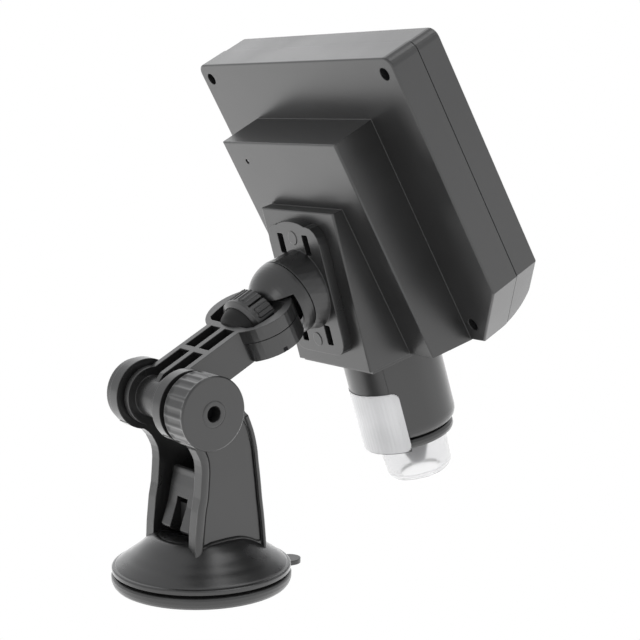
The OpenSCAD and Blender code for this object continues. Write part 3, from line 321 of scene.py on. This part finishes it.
def dress_nodes(nodes, record, mats):
    """Give every CAD node the finish of its slot, but the sunk screws their own and the shaded nodes a
    black of painted shade.
    """
    slots = {part["node"]: part["material_slot"] for part in record["subparts"]}
    for name, obj in nodes.items():
        finish = "dark_steel" if name.startswith(BLACKENED) else slots[name]
        # Shaded nodes get the darker, less shiny black of painted shade
        finish = "painted_shade_black" if name in SHADED else finish
        obj.data.materials.clear()
        obj.data.materials.append(mats[finish])


def add_piece(name, shape, mat, body, smooth=BEADED):
    """Turn a bmesh into a piece with a material, riding on a body."""
    mesh = bpy.data.meshes.new(name)
    bmesh.ops.recalc_face_normals(shape, faces=shape.faces)
    shape.to_mesh(mesh)
    shape.free()
    for face in mesh.polygons:
        face.use_smooth = True
    mesh.set_sharp_from_angle(angle=math.radians(smooth))
    obj = bpy.data.objects.new(name, mesh)
    bpy.context.scene.collection.objects.link(obj)
    mesh.materials.append(mat)
    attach(obj, body)
    return obj


def bridge_rings(shape, rings, closed):
    """Faces between neighbouring rings of equal length."""
    pairs = list(zip(rings, rings[1:]))
    if closed:
        pairs.append((rings[-1], rings[0]))
    for low, high in pairs:
        for i in range(len(low)):
            j = (i + 1) % len(low)
            shape.faces.new((low[i], low[j], high[j], high[i]))


def lathe(profile, steps):
    """A closed profile of radius and height turned round the upright axis, in millimetres."""
    shape = bmesh.new()
    rings = []
    for k in range(steps):
        a = 2 * math.pi * k / steps
        rings.append([shape.verts.new((r * math.cos(a) * MM, r * math.sin(a) * MM, z * MM))
                      for r, z in profile])
    bridge_rings(shape, rings, True)
    return shape


def smooth_line(points, parts):
    """Points on a curve through the given ones."""
    full = [points[0], *points, points[-1]]
    line = []
    for i in range(1, len(full) - 2):
        a, b, c, d = (Vector(p) for p in full[i - 1:i + 3])
        for k in range(parts):
            t = k / parts
            line.append(0.5 * (2 * b + (c - a) * t + (2 * a - 5 * b + 4 * c - d) * t * t
                               + (3 * b - a - 3 * c + d) * t ** 3))
    line.append(Vector(points[-1]))
    return line


def across_line(line, i):
    """Direction to the right of a line of Y and Z, at one of its points."""
    along = (line[min(i + 1, len(line) - 1)] - line[max(i - 1, 0)]).normalized()
    return Vector((along.y, -along.x))


def bead_on_cheek(line, width, side, rise, sunk, arc=BEAD_ARC):
    """A half round bead on the right cheek, along a line of Y and Z or to its side, in millimetres."""
    shape = bmesh.new()
    rings = []
    for i, at in enumerate(line):
        across = across_line(line, i)
        ring = []
        for k in range(arc + 1):
            t = math.pi * k / arc
            spot = at + across * (side * width / 2 + width / 2 * math.cos(t))
            ring.append((CHEEK_OUT + rise * math.sin(t), spot.x, spot.y))
        for edge in (-1, 1):
            spot = at + across * ((side + edge) * width / 2)
            ring.append((CHEEK_OUT - sunk, spot.x, spot.y))
        rings.append([shape.verts.new(Vector(v) * MM) for v in ring])
    bridge_rings(shape, rings, False)
    shape.faces.new(rings[0])
    shape.faces.new(rings[-1])
    return shape


def rim_depth(arc, along):
    """Depth below the ridges at a place on the wheel's rim; arc runs from 0 to 1 over one group."""
    wide = 2 * math.pi * WHEEL_R / WHEEL_GROUPS
    if abs(arc - SLIT_SHARE) * wide < SLIT_W / 2 and along > SLIT_FROM:
        return SLIT_DEEP
    for share in TONGUE_SHARES:
        across = abs(arc - share) * wide
        off = math.hypot(across, max(0.0, TONGUE_FROM + TONGUE_HALF_W - along))
        if abs(off - TONGUE_HALF_W) < RIDGE_W / 2:
            return 0.0
    return RIM_SINK


def worked_round(places, around, groups, rim_r, depth_at, closed, place):
    """Rings about Y from places and radii; without a radius they follow the rim, cut by depth_at."""
    shape = bmesh.new()
    rings = []
    for y, r in places:
        ring = []
        for k in range(around):
            a = 2 * math.pi * k / around
            out = rim_r - depth_at((k / around * groups) % 1.0, y) if r is None else r
            ring.append(shape.verts.new((out * math.sin(a) * MM, y * MM, out * math.cos(a) * MM)))
        rings.append(ring)
    bridge_rings(shape, rings, closed)
    if not closed:
        shape.faces.new(rings[0])
        shape.faces.new(rings[-1])
    shape.transform(place)
    return shape


def at_pivot():
    """Shift from the middle of the table top to the arm's pivot."""
    return Matrix.Translation((0, -PIVOT_BACK * MM, PIVOT_Z * MM))


def rim_rows(start, end, rows):
    """Places from start to end whose radius follows the rim."""
    return [(start + (end - start) * k / rows, None) for k in range(rows + 1)]


def wheel_shape(places):
    """A turned part of the thumb wheel."""
    place = (at_pivot() @ Matrix.Rotation(ARM_RISE, 4, "X")
             @ Matrix.Translation((0, 0, WHEEL_UP * MM)))
    around = WHEEL_STEPS * WHEEL_GROUPS
    return worked_round(places, around, WHEEL_GROUPS, WHEEL_R, rim_depth, False, place)


def flute_depth(arc, along):
    """Depth of the shallow valleys between the knob's narrow ribs, which fade out at both ends."""
    valley = 1.0 - (0.5 + 0.5 * math.cos(2 * math.pi * arc)) ** 2
    ends = min(along - FLUTE_FROM, FLUTE_TO - along) / FLUTE_FADE
    return FLUTE_DEEP * valley * min(1.0, max(0.0, ends))


def dress_knob(mats):
    """A finer clamp knob in place of the CAD one: shallow flutes and a crisp face."""
    places = [*KNOB_BACK, *rim_rows(FLUTE_FROM, FLUTE_TO, KNOB_ROWS), *KNOB_FACE]
    place = at_pivot() @ Matrix.Rotation(math.radians(-90), 4, "Z")
    around = KNOB_STEPS * KNOB_FLUTES
    shape = worked_round(places, around, KNOB_FLUTES, KNOB_R, flute_depth, True, place)
    knob = add_piece("knob_fluted", shape, mats["black_plastic"], "knob", CRISP)
    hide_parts("pivot_knob")


def dress_wheel(mats):
    """A finer thumb wheel in place of the CAD one: a nose in a darker, less shiny black as painted shade,
    and a rim with ridges and slits.
    """
    back = RIM_FROM - SHOULDER_BACK
    rim = [(back, RIM_END_R), (back, WHEEL_R - SHOULDER_LOW), (RIM_FROM, WHEEL_R - SHOULDER_HIGH)]
    rim += rim_rows(RIM_FROM + SHOULDER_RUN, RIM_TO, WHEEL_ROWS)
    rim += [(RIM_TO, WHEEL_R - RIM_END_DROP), (RIM_TO, RIM_END_R)]
    shape = wheel_shape(rim)
    wheel = add_piece("wheel_rim", shape, mats["black_plastic"], "wheel", RIBBED)
    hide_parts("thumb_wheel")
    nose = [(y, r) for r, y in smooth_line([Vector(p) for p in WHEEL_NOSE], CURVE_STEPS)]
    # The nose is painted darker and less shiny, as painted shade
    add_piece("wheel_nose", wheel_shape(nose), mats["painted_shade_black"], "wheel", SOFT)


def corners_of(node):
    """Places of a node's corners."""
    return [node.matrix_world @ v.co for v in node.data.vertices]


def middle(places):
    """Mean of some places."""
    return sum(places, Vector()) / len(places)


def outer_face(node, away):
    """Middle and outward direction of a node's outer face, on the side away from a point."""
    corners = corners_of(node)
    widest = max(node.data.polygons, key=lambda f: f.area)
    out = (node.matrix_world.to_3x3() @ widest.normal).normalized()
    if out.dot(middle(corners) - away) < 0:
        out = -out
    top = max(out.dot(place) for place in corners)
    return middle([place for place in corners if out.dot(place) > top - FACE_SLACK]), out


def bar(x, y, w, h):
    """Corners of an upright rectangle about a middle, in millimetres."""
    left, right, low, high = x - w / 2, x + w / 2, y - h / 2, y + h / 2
    return [(left, low), (right, low), (right, high), (left, high)]


def arc_bars(r, start, end, count, w):
    """Short flat pieces that make up a part of a ring, angles in degrees."""
    loops = []
    for k in range(count):
        a, b = (math.radians(start + (end - start) * (k + i) / count) for i in (0, 1))
        corners = ((r, a), (r + w, a), (r + w, b), (r, b))
        loops.append([(reach * math.cos(turn), reach * math.sin(turn)) for reach, turn in corners])
    return loops


def button_signs():
    """Flat shapes of the six signs, as loops of X and Y in millimetres."""
    level = [bar(0, y, 2.6, STROKE) for y in (-1.0, 1.0)]
    upright = [bar(x, 0, STROKE, 2.35) for x in (-1.3, 1.3)]
    return {
        "button_1": [bar(0, 0.9, THICK_STROKE, 1.3)] + arc_bars(1.1, 120, 420, 12, STROKE),
        "button_2": [bar(0, y, 2.8, THICK_STROKE) for y in (-0.9, 0, 0.9)],
        "button_3": [[(-1.4, -0.8), (1.4, -0.8), (0, 1.3)]],
        "button_4": [[(1.4, 0.8), (-1.4, 0.8), (0, -1.3)]],
        "button_5": arc_bars(0.9, 0, 360, 16, THICK_STROKE),
        "button_6": level + upright,
    }


def sign_shape(loops, spot, up, out):
    """Thin raised prisms about a spot on a face, from loops of X and Y in millimetres."""
    shape = bmesh.new()
    right = up.cross(out)
    for loop in loops:
        ends = []
        for lift in (-SIGN_SUNK, SIGN_RISE):
            ends.append([shape.verts.new(spot + (right * x + up * y + out * lift) * MM)
                         for x, y in loop])
        bridge_rings(shape, ends, False)
        shape.faces.new(ends[0])
        shape.faces.new(ends[1])
    return shape


def dress_keys(nodes, mats):
    """A plain raised sign on each of the six buttons, upright towards the screen."""
    signs = button_signs()
    hub = middle(corners_of(nodes["rear_shell"]))
    row = middle([middle(corners_of(nodes[name])) for name in signs])
    rise = middle(corners_of(nodes["lcd_panel"])) - row
    for name, loops in signs.items():
        spot, out = outer_face(nodes[name], hub)
        up = (rise - out * rise.dot(out)).normalized()
        shape = sign_shape(loops, spot, up, out)
        body = name.replace("button", "key")
        add_piece("sign_" + name, shape, mats["sign_white"], body)


def inset(line, by):
    """A line of Y and Z moved sideways, to its right for a positive distance."""
    return [at + across_line(line, i) * by for i, at in enumerate(line)]


def dome_height(r):
    """Height of the dome's skin at a radius, in millimetres."""
    for (r_out, z_low), (r_in, z_high) in zip(DOME_SKIN, DOME_SKIN[1:]):
        if r_in <= r <= r_out:
            return z_low + (z_high - z_low) * (r_out - r) / (r_out - r_in)
    return DOME_SKIN[0][1]


def panel_line(front, rear):
    """Line round the cheek's panel: down its front, along the dome and up its rear."""
    down = [p for p in reversed(inset(front, PANEL_FRONT)) if p.y > foot_line(p.x)]
    up = [p for p in inset(rear, -PANEL_REAR) if p.y > foot_line(p.x)]
    first, last = down[-1].x, up[0].x
    foot = [first + (last - first) * k / FOOT_STEPS for k in range(1, FOOT_STEPS)]
    return down + [Vector((y, foot_line(y))) for y in foot] + up


def foot_line(y):
    """Height of the panel's lower edge, just over the dome."""
    return dome_height(math.hypot(CHEEK_OUT, y)) + PANEL_OVER


def cheek_edge(shares):
    """Smooth edge of the right cheek, as Y and Z in millimetres."""
    return smooth_line([Vector(p) * PIVOT_Z for p in shares], EDGE_STEPS)


def dress_stand(mats):
    """The dome's smooth skin, the raised edges of the right cheek, and its panel line: a thin dark strip
    of painted shade where the groove round the panel is.
    """
    outer = smooth_line(DOME_SKIN, CURVE_STEPS)
    inner = [(v.x - SKIN_IN, v.y - SKIN_DOWN) for v in reversed(outer)]
    skin = lathe([tuple(v) for v in outer] + inner, SKIN_STEPS)
    add_piece("dome_skin", skin, mats["stand_plastic"], "base", SOFT)
    front, rear = cheek_edge(FRONT_EDGE_SHARES), cheek_edge(REAR_EDGE_SHARES)
    beads = (("front_bead", front, FRONT_BEAD_W, 1), ("rear_bead", rear, REAR_BEAD_W, -1))
    for name, line, width, side in beads:
        bead = bead_on_cheek(line, width, side, BEAD_RISE, BEAD_SUNK)
        add_piece(name, bead, mats["stand_plastic"], "base")
    line = panel_line(front, rear)
    # A dark strip a hair over the cheek, painted shade of the groove round the panel
    groove = bead_on_cheek(line, GROOVE_SHADE_W, 0, GROOVE_SHADE_RISE, GROOVE_SHADE_SUNK, GROOVE_SHADE_ARC)
    add_piece("panel_shade_line", groove, mats["painted_shade_black"], "base")


def area_light(name, place, side, power):
    """A soft square light turned to the object."""
    data = bpy.data.lights.new(name, "AREA")
    data.shape = "RECTANGLE"
    data.size = side
    data.size_y = side
    data.energy = power
    obj = bpy.data.objects.new(name, data)
    obj.location = place
    obj.rotation_euler = (Vector(AIM) - Vector(place)).to_track_quat("-Z", "Y").to_euler()
    bpy.context.scene.collection.objects.link(obj)


def seen_directly(nodes, links):
    """Output that is 1 for the camera and for rays through clear pieces, else 0."""
    path, either = nodes.new("ShaderNodeLightPath"), nodes.new("ShaderNodeMath")
    either.operation = "MAXIMUM"
    links.new(path.outputs["Is Camera Ray"], either.inputs[0])
    links.new(path.outputs["Is Transmission Ray"], either.inputs[1])
    return either.outputs["Value"]


def lit_floor():
    """White where it is seen, an evenly lit table top for every other ray."""
    mat, tree, out = new_material("floor_white")
    nodes, links = tree.nodes, tree.links
    seen, table = nodes.new("ShaderNodeEmission"), nodes.new("ShaderNodeEmission")
    shader_input(table, "Strength", TABLE_GLOW)
    mix = nodes.new("ShaderNodeMixShader")
    links.new(seen_directly(nodes, links), mix.inputs["Fac"])
    links.new(table.outputs["Emission"], mix.inputs[1])
    links.new(seen.outputs["Emission"], mix.inputs[2])
    links.new(mix.outputs["Shader"], out.inputs["Surface"])
    return mat


def make_floor():
    """A wide pale floor just under the object, which falls gently far out; no part of the object."""
    mesh = bpy.data.meshes.new("floor")
    shape = bmesh.new()
    bmesh.ops.create_grid(shape, x_segments=FLOOR_CELLS, y_segments=FLOOR_CELLS, size=FLOOR_HALF)
    for v in shape.verts:
        v.co.z = -FLOOR_GAP - FLOOR_FALL * max(0.0, v.co.length - FLOOR_FLAT)
    shape.to_mesh(mesh)
    shape.free()
    obj = bpy.data.objects.new("floor", mesh)
    bpy.context.scene.collection.objects.link(obj)
    mesh.materials.append(lit_floor())


def make_world():
    """White to the camera, a soft grey sky for everything else."""
    world = bpy.data.worlds.new("studio")
    bpy.context.scene.world = world
    world.use_nodes = True
    nodes, links = world.node_tree.nodes, world.node_tree.links
    nodes.clear()
    out = nodes.new("ShaderNodeOutputWorld")
    sky, white = nodes.new("ShaderNodeBackground"), nodes.new("ShaderNodeBackground")
    shader_input(sky, "Color", SKY_COLOUR)
    shader_input(sky, "Strength", SKY_STRENGTH)
    shader_input(white, "Color", WHITE)
    mix = nodes.new("ShaderNodeMixShader")
    links.new(seen_directly(nodes, links), mix.inputs["Fac"])
    links.new(sky.outputs["Background"], mix.inputs[1])
    links.new(white.outputs["Background"], mix.inputs[2])
    links.new(mix.outputs["Shader"], out.inputs["Surface"])


def make_camera():
    """The camera at the photograph's place."""
    data = bpy.data.cameras.new("camera")
    data.lens = LENS
    data.sensor_width = SENSOR
    data.clip_start = NEAR
    obj = bpy.data.objects.new("camera", data)
    obj.location = EYE
    obj.rotation_euler = LOOK.to_track_quat("-Z", "Y").to_euler()
    scene = bpy.context.scene
    scene.collection.objects.link(obj)
    scene.camera = obj


def make_lights():
    """Soft studio light round the object."""
    for name, place, side, power in LIGHTS:
        area_light(name, place, side, power)


bpy.context.scene.view_settings.view_transform = "Standard"
materials = make_materials()
dress_nodes(frame["nodes"], frame["record"], materials)
dress_stand(materials)
dress_wheel(materials)
dress_knob(materials)
dress_keys(frame["nodes"], materials)
make_floor()
make_world()
make_camera()
make_lights()
